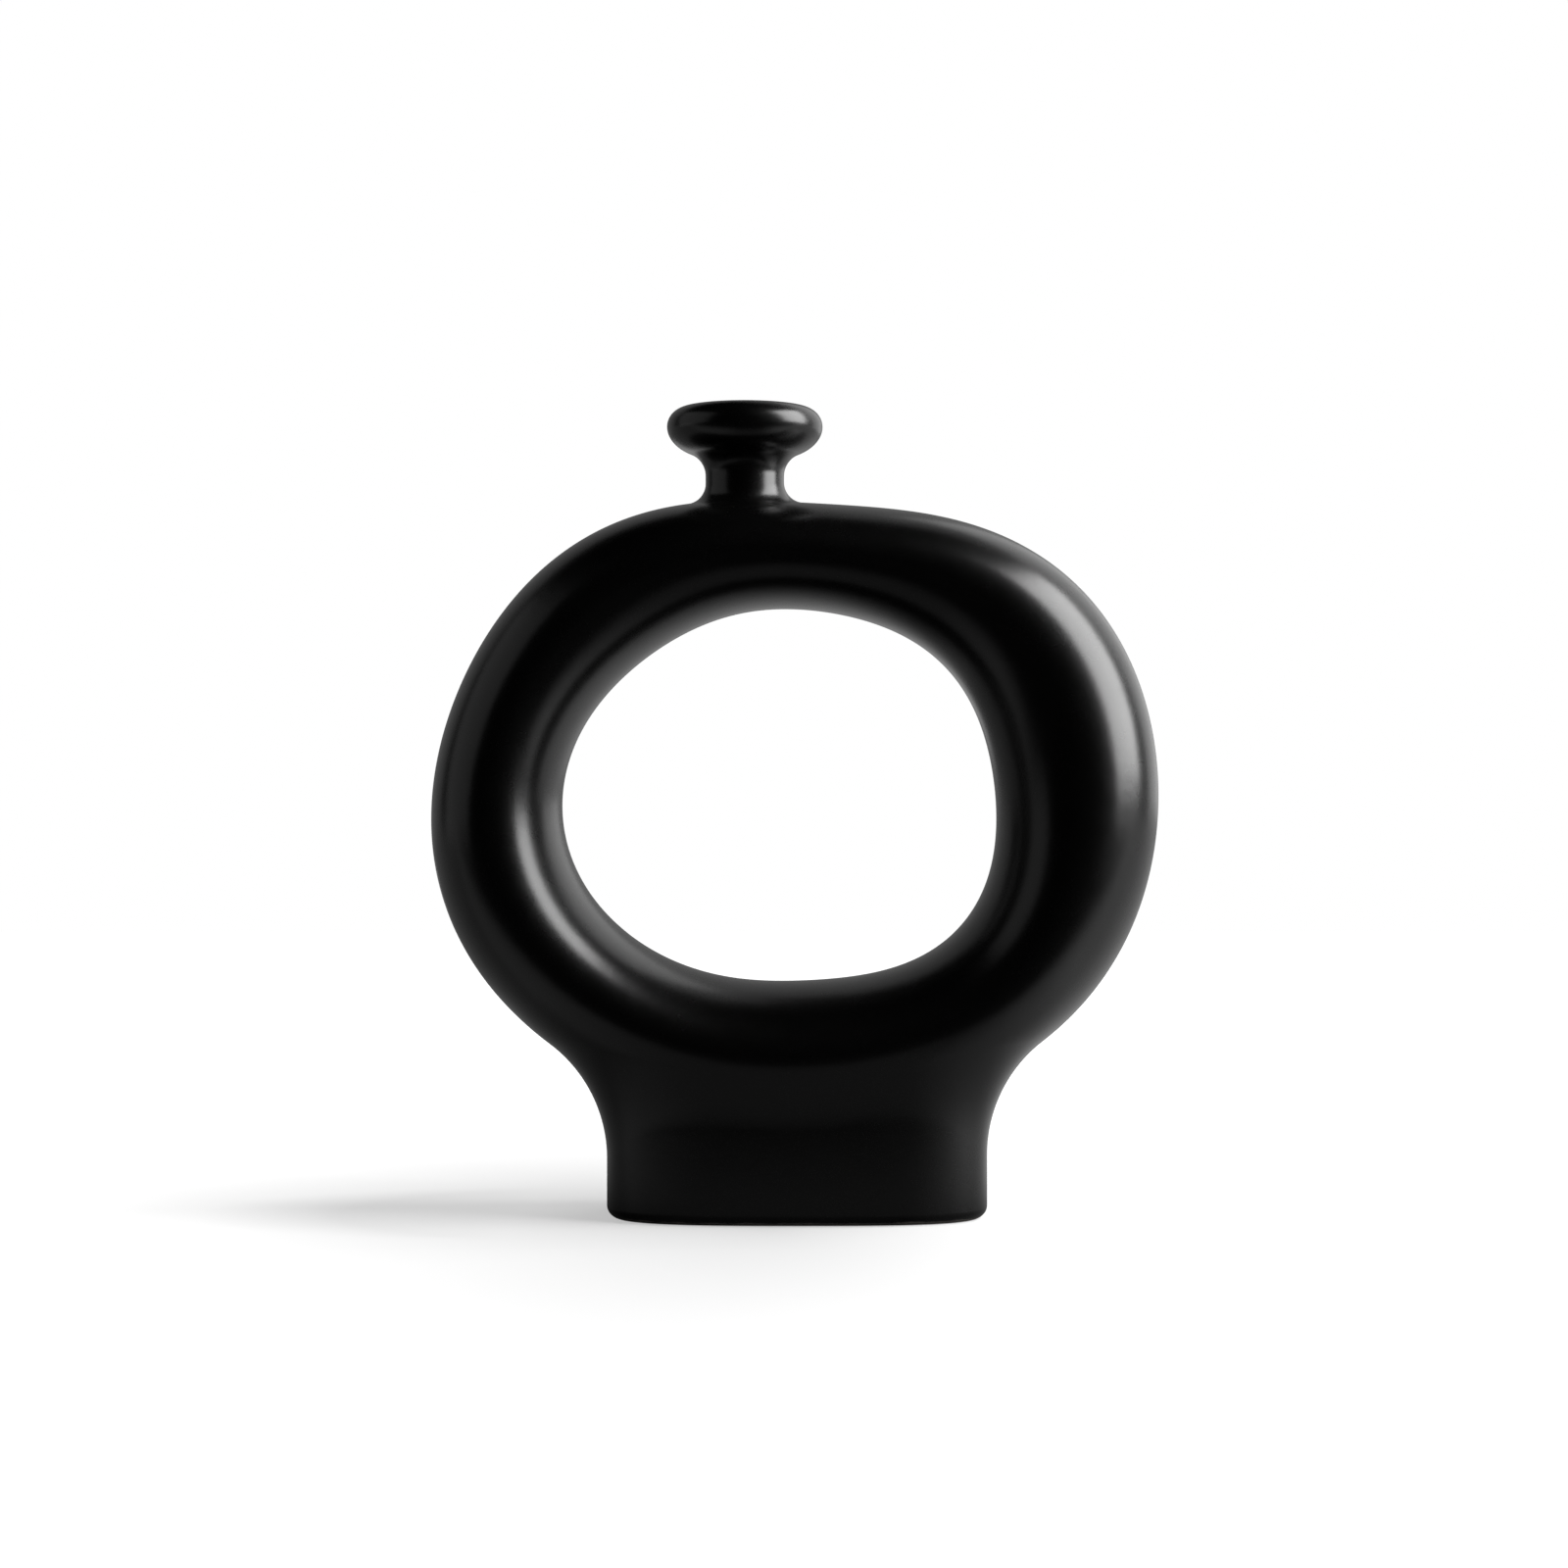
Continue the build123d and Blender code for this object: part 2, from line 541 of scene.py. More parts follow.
class Graph:
    """Nodes of one material or of the world."""

    def __init__(self, tree: bpy.types.NodeTree) -> None:
        """Start with an empty tree."""
        self.tree = tree
        self.tree.nodes.clear()

    def node(self, kind: str, settings: Settings, sockets: Sockets) -> bpy.types.Node:
        """Add a node.

        Args:
            kind: Type of the node.
            settings: Settings of the node, which are set first.
            sockets: Value or link of each input, by name or number.

        Returns:
            The node.
        """
        made = self.tree.nodes.new(kind)
        for name, setting in settings.items():
            setattr(made, name, setting)
        for name, value in sockets.items():
            if isinstance(value, Value):
                self.tree.links.new(value.socket, made.inputs[name])
            else:
                made.inputs[name].default_value = value
        return made

    def add(self, kind: str, settings: Settings, sockets: Sockets, output: str | int = 0) -> Value:
        """One output of a new node, by name or number."""
        return Value(self, self.node(kind, settings, sockets).outputs[output])

    def mix(self, share: Value, first: Any, second: Any) -> Value:
        """Colour between two colours, by a share."""
        return self.add("ShaderNodeMix", {"data_type": "RGBA"}, {0: share, 6: first, 7: second}, 2)

    def place(self) -> Value:
        """Place on the piece, in metres."""
        return self.add("ShaderNodeTexCoord", {}, {}, "Object")

    def along(self, axis: Along) -> Value:
        """Place on the piece along one axis, in metres."""
        return self.add("ShaderNodeSeparateXYZ", {}, {0: self.place()}, axis.value)

    def ray(self, kind: Ray) -> Value:
        """1 for rays of a kind, and 0 for others."""
        return self.add("ShaderNodeLightPath", {}, {}, kind.value)

    def straight(self) -> Value:
        """1 for rays from the camera, also through clear things, and 0 for others."""
        return self.ray(Ray.CAMERA) + self.ray(Ray.TRANSMISSION)

    def bump(self, height: Value, strength: float, depth: float) -> Value:
        """Directions of a surface that a height roughens."""
        return self.add("ShaderNodeBump", {}, {"Strength": strength, "Distance": depth, "Height": height})

    def glow(self, share: Value) -> Value:
        """Light of a paper, from none to white: a mix of two glows.

        Args:
            share: Share of white.

        Returns:
            Shader of the light.
        """
        dark = self.add("ShaderNodeEmission", {}, {"Color": WHITE, "Strength": 0.0})
        white = self.add("ShaderNodeEmission", {}, {"Color": WHITE, "Strength": 1.0})
        return self.add("ShaderNodeMixShader", {}, {0: share, 1: dark, 2: white})

    def finish(self, surface: Value) -> None:
        """End a material's graph with its surface."""
        self.node("ShaderNodeOutputMaterial", {}, {"Surface": surface})


@dataclass(frozen=True)
class Cloud:
    """Cloudy number about one half over a piece: its scale per metre, and how much fine detail it has."""

    scale: float
    detail: float

    def number(self, graph: Graph) -> Value:
        """The number at each place."""
        sockets = {"Vector": graph.place(), "Scale": self.scale, "Detail": self.detail}
        return graph.add("ShaderNodeTexNoise", {}, sockets)


@dataclass(frozen=True)
class Ramp:
    """Even change from 0 at a start to 1 where it is full, and level on either side."""

    start: float
    full: float

    def share(self, number: Value) -> Value:
        """Share of the change at a number: its distance from the start over the whole distance."""
        return ((number - self.start) * (1 / (self.full - self.start))).clamped()


def new_material(name: str) -> tuple[bpy.types.Material, Graph]:
    """Empty material with nodes.

    Args:
        name: Name of the material.

    Returns:
        The material, and its graph.
    """
    material = bpy.data.materials.new(name)
    material.use_nodes = True
    return material, Graph(material.node_tree)


@dataclass(frozen=True)
class BlackGlaze:
    """Black satin glaze, a little uneven, that stops short of the rim that the vase stands on."""

    colour: Colour = (0.0004, 0.0004, 0.00045, 1.0)
    thin_colour: Colour = (0.0010, 0.0010, 0.0009, 1.0)
    clay_colour: Colour = (0.060, 0.054, 0.048, 1.0)
    roughness: float = 0.27
    unevenness: float = 0.04
    cloud: Cloud = Cloud(22.0, 3.0)
    ripple: Cloud = Cloud(160.0, 2.0)
    ripple_strength: float = 0.06
    ripple_depth: float = 0.0006
    bare_height: float = 0.0011
    bare_waviness: float = 0.0012
    bare_edge: Ramp = Ramp(-0.000167, 0.000167)
    bare_roughness: float = 0.5

    def make(self) -> bpy.types.Material:
        """Material of the glaze: thin and thick clouds, fine ripples, and bare clay under a wavy edge.

        Returns:
            The material.
        """
        material, graph = new_material("black_glaze")
        cloud = self.cloud.number(graph)
        ripple = self.ripple.number(graph)
        edge = self.bare_height + (ripple - NOISE_MIDDLE) * self.bare_waviness
        bare = self.bare_edge.share(edge - graph.along(Along.Z))
        glazed = graph.mix(cloud, self.colour, self.thin_colour)
        uneven = (cloud - NOISE_MIDDLE) * self.unevenness + (ripple - NOISE_MIDDLE) * self.unevenness
        graph.finish(graph.add("ShaderNodeBsdfPrincipled", {}, {
            "Base Color": graph.mix(bare, glazed, self.clay_colour),
            "Roughness": self.roughness + uneven + bare * self.bare_roughness,
            "Normal": graph.bump(ripple, self.ripple_strength, self.ripple_depth),
        }))
        return material


@dataclass(frozen=True)
class FiredClay:
    """Bare fired clay with fine grog in it."""

    name: str
    colour: Colour
    grog_colour: Colour
    roughness: float = 0.82
    unevenness: float = 0.1
    cloud: Cloud = Cloud(40.0, 3.0)
    grain: Cloud = Cloud(900.0, 4.0)
    grain_strength: float = 0.25
    grain_depth: float = 0.0004
    grog: Ramp = Ramp(0.58, 0.6911)

    def make(self) -> bpy.types.Material:
        """Material of the clay: its grain roughens it, and the highest grains are grog.

        Returns:
            The material.
        """
        material, graph = new_material(self.name)
        grain = self.grain.number(graph)
        cloud = self.cloud.number(graph)
        graph.finish(graph.add("ShaderNodeBsdfPrincipled", {}, {
            "Base Color": graph.mix(self.grog.share(grain), self.colour, self.grog_colour),
            "Roughness": self.roughness + (cloud - NOISE_MIDDLE) * self.unevenness,
            "Normal": graph.bump(grain, self.grain_strength, self.grain_depth),
        }))
        return material


@dataclass(frozen=True)
class Finishes:
    """The finishes of the vase, made once."""

    glaze: bpy.types.Material
    clay: bpy.types.Material
    slip: bpy.types.Material

    @classmethod
    def fired(cls) -> "Finishes":
        """All of the finishes.

        Returns:
            Glaze, bare clay and slip.
        """
        clay = FiredClay(
            name="bare_clay",
            colour=(0.075, 0.066, 0.058, 1.0),
            grog_colour=(0.13, 0.115, 0.10, 1.0),
        )
        slip = FiredClay(
            name="fired_slip",
            colour=(0.060, 0.053, 0.047, 1.0),
            grog_colour=(0.085, 0.075, 0.066, 1.0),
        )
        return cls(BlackGlaze().make(), clay.make(), slip.make())


def finish_piece(piece: bpy.types.Object, material: bpy.types.Material, slot: str, *nodes: str) -> None:
    """Give a piece its material, and put it in the place of nodes of the frame.

    Args:
        piece: New piece.
        material: Its material.
        slot: Slot of the record that the material belongs to; not used.
        nodes: Nodes that the piece stands for.
    """
    piece.data.materials.append(material)
    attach(piece, "root")
    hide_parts(*nodes)
    LOG.info("%s: %d faces, for %s", piece.name, len(piece.data.polygons), ", ".join(nodes))


@dataclass(frozen=True)
class Throwing:
    """Sizes in millimetres that several parts share, and the outlines and blends that follow.

    The joints lie in the middle of the frame's seams of slip.
    """

    foot_joint: float = 30.97
    neck_joint: float = 221.66
    lip_joint: float = 226.66
    lip_top: float = 248.66
    ring: RingForm = RingForm()
    foot_x: float = 0.8
    foot_width: float = 116.8
    foot_depth: float = 58.08
    foot_squareness: float = 3.2
    foot_wall: float = 7.0
    flare_radius: float = 44.02
    neck_x: float = -15.3
    neck_diameter: float = 24.2
    neck_round: float = 6.5
    bore_diameter: float = 15.0

    def _foot_oval(self, inset: float) -> Oval:
        """Squared oval of the foot, set in by a distance."""
        halves = (self.foot_width / 2 - inset, self.foot_depth / 2 - inset)
        return Oval(self.foot_x, *halves, self.foot_squareness)

    @property
    def foot_outline(self) -> Oval:
        """Outside of the foot."""
        return self._foot_oval(0.0)

    @property
    def foot_core(self) -> Oval:
        """Hollow of the foot."""
        return self._foot_oval(self.foot_wall)

    @property
    def neck_outline(self) -> Oval:
        """Outside of the neck, which is round."""
        return Oval(self.neck_x, self.neck_diameter / 2, self.neck_diameter / 2)

    @property
    def bore(self) -> Oval:
        """Bore of the neck and the lip, which is round."""
        return Oval(self.neck_x, self.bore_diameter / 2, self.bore_diameter / 2)

    @property
    def flare(self) -> BallBlend:
        """Blend of the foot into the ring."""
        return BallBlend(self.ring, self.foot_outline, self.flare_radius, Level.UNDER)

    @property
    def neck_base(self) -> BallBlend:
        """Blend of the neck into the ring."""
        return BallBlend(self.ring, self.neck_outline, self.neck_round, Level.TOP)


@dataclass(frozen=True)
class Collar:
    """Where a post joins the ring: its blend from a joint to the ring, and a core back to the joint."""

    blend: BallBlend
    core: Oval
    joint: float
    root: float
    rows: int
    columns: int

    def half(self, side: Side) -> Skin:
        """Half of the collar.

        Args:
            side: Half of the ring that it belongs to.

        Returns:
            Skin with flat ends, where the two halves of the ring meet.
        """
        heading = side.value * np.linspace(0.0, math.pi, self.columns)
        start = self.blend.share_at(heading, self.joint)
        share = start + (1 - start) * np.linspace(0.0, 1.0, self.rows)[:, None]
        outside = self.blend.sweep(heading, share)
        outside.points[0, :, 2] = self.joint
        deep = self.core.locate(heading, self.root)
        shallow = self.core.locate(heading, self.joint)
        return Skin([
            outside,
            Sheet.band(outside.points[-1], deep, -outside.directions[-1]),
            Sheet.band(deep, shallow, -self.core.outward(heading)),
            Sheet.band(shallow, outside.points[0], (0.0, 0.0, self.blend.level.value)),
        ], whole=False)


@dataclass
class RingHalf:
    """Half of the hollow ring, with its half of the foot's flare and of the neck's base."""

    side: Side
    nodes: tuple[str, ...]
    throwing: Throwing
    columns: int = 384
    skin_rows: int = 81
    inner_rows: int = 33
    flare_grid: tuple[int, int] = (29, 181)
    neck_grid: tuple[int, int] = (17, 73)
    flare_root: float = 43.0
    bore_root: float = 214.9
    bore_opening: float = 11.0

    def _tube(self) -> Skin:
        """Half of the tube: outer skin, its edge, inner skin one wall in, and the edge at the hole.

        Returns:
            Skin that is open under the bore.
        """
        ring = self.throwing.ring
        angle = headings(self.columns)[None, :]
        sign = self.side.value
        out = sign * np.linspace(0.0, math.pi, self.skin_rows)[:, None]
        back = sign * np.linspace(math.pi, 0.0, self.inner_rows)[:, None]
        outer = Sheet(ring.locate(angle, out), ring.outward(angle, out))
        inner = Sheet(ring.locate(angle, back, ring.wall), -ring.outward(angle, back))
        edge = (0.0, -sign, 0.0)
        return Skin([
            outer,
            Sheet.band(outer.points[-1], inner.points[0], edge),
            inner,
            Sheet.band(inner.points[-1], outer.points[0], edge),
        ], opening=self._in_bore)

    def _in_bore(self, places: Array) -> Array:
        """Places on top of the upper limb, under the bore, where the tube is open.

        Args:
            places: Places on the tube.

        Returns:
            True for each place in the opening.
        """
        ring = self.throwing.ring
        away = np.hypot(places[:, 0] - self.throwing.neck_x, places[:, 1])
        middle = ring.centre_z + ring.middle(np.array(math.pi / 2))
        return (away < self.bore_opening) & (places[:, 2] > middle)

    def build(self) -> bpy.types.Object:
        """Mesh of the half ring.

        Returns:
            The piece.
        """
        made = self.throwing
        foot = Collar(made.flare, made.foot_core, made.foot_joint, self.flare_root, *self.flare_grid)
        neck = Collar(made.neck_base, made.bore, made.neck_joint, self.bore_root, *self.neck_grid)
        skins = [self._tube(), foot.half(self.side), neck.half(self.side)]
        return make_piece(f"ring_{self.side.name.lower()}_glazed", skins)

    def dress(self, piece: bpy.types.Object, finishes: Finishes) -> None:
        """Glaze the half ring."""
        finish_piece(piece, finishes.glaze, "black_glaze", *self.nodes)


def sleeve(outside: Sequence[Sheet], core: Oval, heading: Array) -> Skin:
    """Upright wall: its outside from the bottom up, level ends, and a core between them.

    Args:
        outside: Sheets of the outside, with a level row at the bottom and at the top.
        core: Outline of the core.
        heading: Headings of the columns.

    Returns:
        Skin of the wall.
    """
    bottom = outside[0].points[0]
    top = outside[-1].points[-1]
    low = core.locate(heading, bottom[:, 2])
    high = core.locate(heading, top[:, 2])
    return Skin([
        Sheet.band(low, bottom, DOWN),
        *outside,
        Sheet.band(top, high, UP),
        Sheet.band(high, low, -core.outward(heading)),
    ])


@dataclass
class Foot:
    """Wall of the oval foot, from its rounded rim to the joint under the ring, and its floor."""

    throwing: Throwing
    edge_round: float = 3.5
    columns: int = 360
    round_rows: int = 13
    side_rows: int = 25

    def build(self) -> bpy.types.Object:
        """Mesh of the foot's wall: rim, quarter round, side with the start of the flare, joint and core.

        Returns:
            The piece.
        """
        made = self.throwing
        heading = headings(self.columns)
        bend = np.linspace(0.0, math.pi / 2, self.round_rows)[:, None]
        inset = self.edge_round * (1 - np.sin(bend))
        rise = self.edge_round * (1 - np.cos(bend))
        level = made.foot_outline.outward(heading)[None]
        bent = np.sin(bend)[..., None] * level + np.cos(bend)[..., None] * np.array(DOWN)
        edge = Sheet(made.foot_outline.locate(heading[None], rise, inset), bent)
        side = made.flare.column(heading, np.linspace(self.edge_round, made.foot_joint, self.side_rows))
        return make_piece("foot_glazed", [sleeve([edge, side], made.foot_core, heading)])

    def dress(self, piece: bpy.types.Object, finishes: Finishes) -> None:
        """Glaze the wall, and leave the floor and its slip bare.

        Args:
            piece: The foot's wall.
            finishes: Finishes of the vase.
        """
        finish_piece(piece, finishes.glaze, "black_glaze", "foot_wall", "foot_seam")
        for node, material in (("foot_floor", finishes.clay), ("floor_seam", finishes.slip)):
            floor = bpy.data.objects[node]
            floor.data.materials.clear()
            floor.data.materials.append(material)
            LOG.info("%s: kept, with %s", node, material.name)


@dataclass
class Neck:
    """Short neck between the ring and the lip, with its bore."""

    throwing: Throwing
    columns: int = 144
    side_rows: int = 17

    def build(self) -> bpy.types.Object:
        """Mesh of the neck: joint with the ring, side, joint with the lip and bore.

        Returns:
            The piece.
        """
        made = self.throwing
        heading = headings(self.columns)
        heights = np.linspace(made.neck_joint, made.lip_joint, self.side_rows)
        side = made.neck_base.column(heading, heights)
        return make_piece("neck_glazed", [sleeve([side], made.bore, heading)])

    def dress(self, piece: bpy.types.Object, finishes: Finishes) -> None:
        """Glaze the neck."""
        finish_piece(piece, finishes.glaze, "black_glaze", "neck", "neck_seam")


def straight_run(start: Numbers, end: Numbers, direction: Numbers) -> Run:
    """Run of a profile straight from one point to another, with one direction."""
    return np.array([start, end]), np.array([direction, direction])


def oval_run(x: float, z: float, half_width: float, half_height: float, angle: Array) -> Run:
    """Run of a profile on an upright oval: its middle plus cos and sin times its halves.

    Args:
        x: Distance of its middle from the axis.
        z: Height of its middle.
        half_width: Half of its width.
        half_height: Half of its height.
        angle: Angles of the points.

    Returns:
        Points, and unit directions out of the oval, as distance and height.
    """
    points = np.stack([x + half_width * np.cos(angle), z + half_height * np.sin(angle)], axis=-1)
    return points, unit(np.stack([np.cos(angle) / half_width, np.sin(angle) / half_height], axis=-1))


def turned(axis_x: float, heading: Array, run: Array, directions: Array) -> Sheet:
    """Sheet of a profile turned about an upright axis: the distance goes along each heading.

    Args:
        axis_x: Place of the axis.
        heading: Headings of the columns.
        run: Distance and height of each row.
        directions: Direction of each row, as distance and height.

    Returns:
        Sheet, rows by columns.
    """
    def carried(profile: Array) -> Array:
        """Distance and height of each row carried round an axis at the origin.

        Args:
            profile: Distance and height of each row.

        Returns:
            Points, rows by columns.
        """
        away = profile[:, :1]
        height = np.broadcast_to(profile[:, 1:], (len(profile), heading.size))
        return np.stack([away * np.cos(heading), away * np.sin(heading), height], axis=-1)

    return Sheet(carried(run) + np.array([axis_x, 0.0, 0.0]), carried(directions))


@dataclass
class Lip:
    """Flat-topped rolled lip on its throat: quarter ovals under and over its edge, and a rounded mouth."""

    throwing: Throwing
    diameter: float = 48.0
    under_height: float = 9.5
    edge_width: float = 6.4
    edge_height: float = 6.0
    throat_round: float = 7.5
    mouth_round: float = 2.2
    columns: int = 192
    oval_rows: int = 33
    round_rows: int = 13
    halvings: int = 60

    @property
    def middle(self) -> float:
        """Height of the lip's widest part."""
        return self.throwing.lip_top - self.edge_height

    @property
    def crest(self) -> float:
        """Distance from the axis to where the flat top turns into the mouth."""
        return self.throwing.bore_diameter / 2 + self.mouth_round

    @property
    def reach(self) -> float:
        """Half width of the lower oval, from the crest to the edge."""
        return self.diameter / 2 - self.crest

    def _throat_meets(self) -> float:
        """Angle on the lower oval where the round of the throat touches it, found by halving.

        Returns:
            Angle from the oval's middle, below zero.
        """
        goal = self.throwing.neck_diameter / 2 + self.throat_round
        low = -math.pi / 2
        high = 0.0
        for _ in range(self.halvings):
            angle = (low + high) / 2
            tilt = np.array([math.cos(angle) / self.reach, math.sin(angle) / self.under_height])
            ball = self.crest + self.reach * math.cos(angle) + self.throat_round * unit(tilt)[0]
            if ball < goal:
                low = angle
            else:
                high = angle
        return (low + high) / 2

    def _profile(self) -> list[Run]:
        """Profile from the bore's end out along the joint, up, over and back into the bore.

        Returns:
            Runs of points and directions, as distance and height, each from the end of the one before.
        """
        joint = self.throwing.lip_joint
        bore_end = (self.throwing.bore_diameter / 2, joint)
        post_foot = (self.throwing.neck_diameter / 2, joint)
        under = np.linspace(self._throat_meets(), 0.0, self.oval_rows)
        over = np.linspace(0.0, math.pi / 2, self.oval_rows)
        low_oval = oval_run(self.crest, self.middle, self.reach, self.under_height, under)
        edge_start = self.diameter / 2 - self.edge_width
        top_oval = oval_run(edge_start, self.middle, self.edge_width, self.edge_height, over)
        leaving = low_oval[1][0]
        ball = low_oval[0][0] + self.throat_round * leaving
        bend = np.linspace(math.pi, math.atan2(-leaving[1], -leaving[0]), self.round_rows)
        throat, inward = oval_run(ball[0], ball[1], self.throat_round, self.throat_round, bend)
        mouth_middle = self.throwing.lip_top - self.mouth_round
        quarter = np.linspace(math.pi / 2, math.pi, self.round_rows)
        mouth = oval_run(self.crest, mouth_middle, self.mouth_round, self.mouth_round, quarter)
        return [
            straight_run(bore_end, post_foot, (0.0, -1.0)),
            straight_run(post_foot, throat[0], (1.0, 0.0)),
            (throat, -inward),
            low_oval,
            top_oval,
            straight_run(top_oval[0][-1], mouth[0][0], (0.0, 1.0)),
            mouth,
            straight_run(mouth[0][-1], bore_end, (-1.0, 0.0)),
        ]

    def build(self) -> bpy.types.Object:
        """Mesh of the lip: its profile turned about the neck's axis.

        Returns:
            The piece.
        """
        heading = headings(self.columns)
        sheets = [turned(self.throwing.neck_x, heading, *run) for run in self._profile()]
        return make_piece("lip_glazed", [Skin(sheets)])

    def dress(self, piece: bpy.types.Object, finishes: Finishes) -> None:
        """Glaze the lip."""
        finish_piece(piece, finishes.glaze, "black_glaze", "lip", "lip_seam")


def panel(name: str, centre: Place, right: Place, up: Place) -> bpy.types.Object:
    """Flat panel: its middle plus and minus half of its width and of its height.

    Args:
        name: Name of the panel.
        centre: Its middle, in metres.
        right: Half of its width, as a vector.
        up: Half of its height, as a vector.

    Returns:
        Object at the origin.
    """
    signs = np.array([[-1, -1], [1, -1], [1, 1], [-1, 1]])
    corners = np.asarray(centre) + signs @ np.array([right, up], dtype=float)
    mesh = bpy.data.meshes.new(name)
    mesh.from_pydata(corners.tolist(), [], [[0, 1, 2, 3]])
    made = bpy.data.objects.new(name, mesh)
    bpy.context.scene.collection.objects.link(made)
    return made


@dataclass(frozen=True)
class Softbox:
    """Soft lamp: a lit rectangle, in metres, that looks at a point."""

    name: str
    place: Place
    target: Place
    width: float
    height: float
    radiance: float

    def build(self) -> bpy.types.Object:
        """Lamp with the power that gives its radiance: pi times its area times the radiance.

        Returns:
            The lamp.
        """
        lamp = bpy.data.lights.new(self.name, "AREA")
        lamp.shape = "RECTANGLE"
        lamp.size = self.width
        lamp.size_y = self.height
        lamp.energy = math.pi * self.width * self.height * self.radiance
        made = bpy.data.objects.new(self.name, lamp)
        made.visible_camera = False
        bpy.context.scene.collection.objects.link(made)
        away = unit(np.subtract(self.place, self.target))
        right = unit(np.cross(UP, away))
        up = np.cross(away, right)
        made.location = self.place
        made.rotation_euler = Matrix(np.stack([right, up, away], axis=-1).tolist()).to_euler()
        return made


@dataclass(frozen=True)
class Patch:
    """Oval patch on the table, in metres."""

    x: float
    y: float
    half_width: float
    half_depth: float

    def away(self, graph: Graph) -> Value:
        """Distance from the middle of the patch, where its rim is at 1.

        Args:
            graph: Graph of the table's paper.

        Returns:
            Length of the two shares of the half width and the half depth.
        """
        shares = graph.add("ShaderNodeCombineXYZ", {}, {
            0: (graph.along(Along.X) - self.x) * (1 / self.half_width),
            1: (graph.along(Along.Y) - self.y) * (1 / self.half_depth),
        })
        return graph.add("ShaderNodeVectorMath", {"operation": "LENGTH"}, {0: shares}, 1)


@dataclass(frozen=True)
class Table:
    """White paper on the table: it keeps the vase's shadow near by, has a painted shade in front of the
    foot, and is plain white further off.

    The mirrored values are the shares of white that the glaze shows, and the ramps, in metres, say where.
    """

    half_size: float = 4.0
    colour: Colour = (0.47, 0.47, 0.47, 1.0)
    shadow: Patch = Patch(-0.05, 0.0, 0.18, 0.1125)
    shadow_fade: Ramp = Ramp(0.5, 1.0)
    shadow_glow: float = 0.55
    # Painted shade: the paper glows less in this oval in front of the foot.
    painted_front_shade: Patch = Patch(-0.006, -0.03, 0.075, 0.16)
    painted_front_shade_glow: float = 0.37
    painted_front_shade_rise: float = 0.17
    mirrored_far: float = 0.012
    mirrored_front: float = 0.12
    mirrored_back: float = 0.55
    mirrored_right: float = 0.70
    mirrored_left: float = 0.16
    front_begins: Ramp = Ramp(-0.02, -0.0533)
    front_ends: Ramp = Ramp(-0.26, -0.135)
    back_begins: Ramp = Ramp(0.03, 0.3633)
    back_from_left: Ramp = Ramp(-0.20, 0.0)
    sides_end: Ramp = Ramp(-0.30, -0.1333)
    right_begins: Ramp = Ramp(0.02, 0.1629)
    right_lean: float = 0.5
    left_begins: Ramp = Ramp(-0.05, -0.15)

    def _seen(self, graph: Graph) -> Value:
        """Share of white that the camera sees: less about the shadow, and least at the foot's front, where a
        soft shade is painted.

        Args:
            graph: Graph of the paper.

        Returns:
            Share of white.
        """
        outside = self.shadow_fade.share(self.shadow.away(graph))
        about_shadow = self.shadow_glow + (1 - self.shadow_glow) * outside
        # Painted shade in front of the foot: the glow is least at its middle and rises towards the oval's
        # rim.
        painted_shade_at_foot = self.painted_front_shade_glow + self.painted_front_shade.away(graph) * self.painted_front_shade_rise
        return about_shadow.least(painted_shade_at_foot)

    def _mirrored(self, graph: Graph) -> Value:
        """Share of white that the glaze shows: most at the back and right, little in front and left.

        Args:
            graph: Graph of the paper.

        Returns:
            Share of white.
        """
        x = graph.along(Along.X)
        y = graph.along(Along.Y)
        front = self.front_begins.share(y) * self.front_ends.share(y)
        back = self.back_begins.share(y) * self.back_from_left.share(x)
        sides = self.sides_end.share(y)
        right = self.right_begins.share(x + y * self.right_lean) * sides * (1 - back)
        left = self.left_begins.share(x) * sides
        lengthways = front * self.mirrored_front + back * self.mirrored_back
        sideways = right * self.mirrored_right + left * self.mirrored_left
        return self.mirrored_far + lengthways + sideways

    def _material(self) -> bpy.types.Material:
        """Paper that is lit and glows as the camera sees it, and that the glaze shows by its own shares.

        Returns:
            The material.
        """
        material, graph = new_material("table_paper")
        paper = graph.add("ShaderNodeBsdfDiffuse", {}, {"Color": self.colour})
        glow = graph.glow(graph.straight() * self._seen(graph))
        lit = graph.add("ShaderNodeAddShader", {}, {0: paper, 1: glow})
        mirrored = graph.glow(self._mirrored(graph))
        glossy = graph.ray(Ray.GLOSSY)
        graph.finish(graph.add("ShaderNodeMixShader", {}, {0: glossy, 1: lit, 2: mirrored}))
        return material

    def build(self) -> bpy.types.Object:
        """Level sheet of paper.

        Returns:
            The sheet.
        """
        size = self.half_size
        sheet = panel("table", (0.0, 0.0, 0.0), (size, 0.0, 0.0), (0.0, size, 0.0))
        sheet.data.materials.append(self._material())
        return sheet


@dataclass(frozen=True)
class Backdrop:
    """White backdrop behind the vase; in the glaze it is brighter on the right than on the left."""

    distance: float = 1.7
    half_width: float = 2.5
    half_height: float = 1.2
    mirrored_left: float = 0.20
    mirrored_right: float = 0.50

    def _material(self) -> bpy.types.Material:
        """White that glows; the share that the glaze shows grows with the square of the way to the right.

        Returns:
            The material.
        """
        material, graph = new_material("backdrop_paper")
        rightward = Ramp(-self.half_width, self.half_width).share(graph.along(Along.X))
        mirrored = self.mirrored_left + rightward * rightward * (self.mirrored_right - self.mirrored_left)
        graph.finish(graph.glow(graph.straight() + graph.ray(Ray.GLOSSY) * mirrored))
        return material

    def build(self) -> bpy.types.Object:
        """Upright sheet of paper that stands on the table.

        Returns:
            The sheet.
        """
        centre = (0.0, self.distance, self.half_height)
        sheet = panel("backdrop", centre, (self.half_width, 0.0, 0.0), (0.0, 0.0, self.half_height))
        sheet.data.materials.append(self._material())
        return sheet


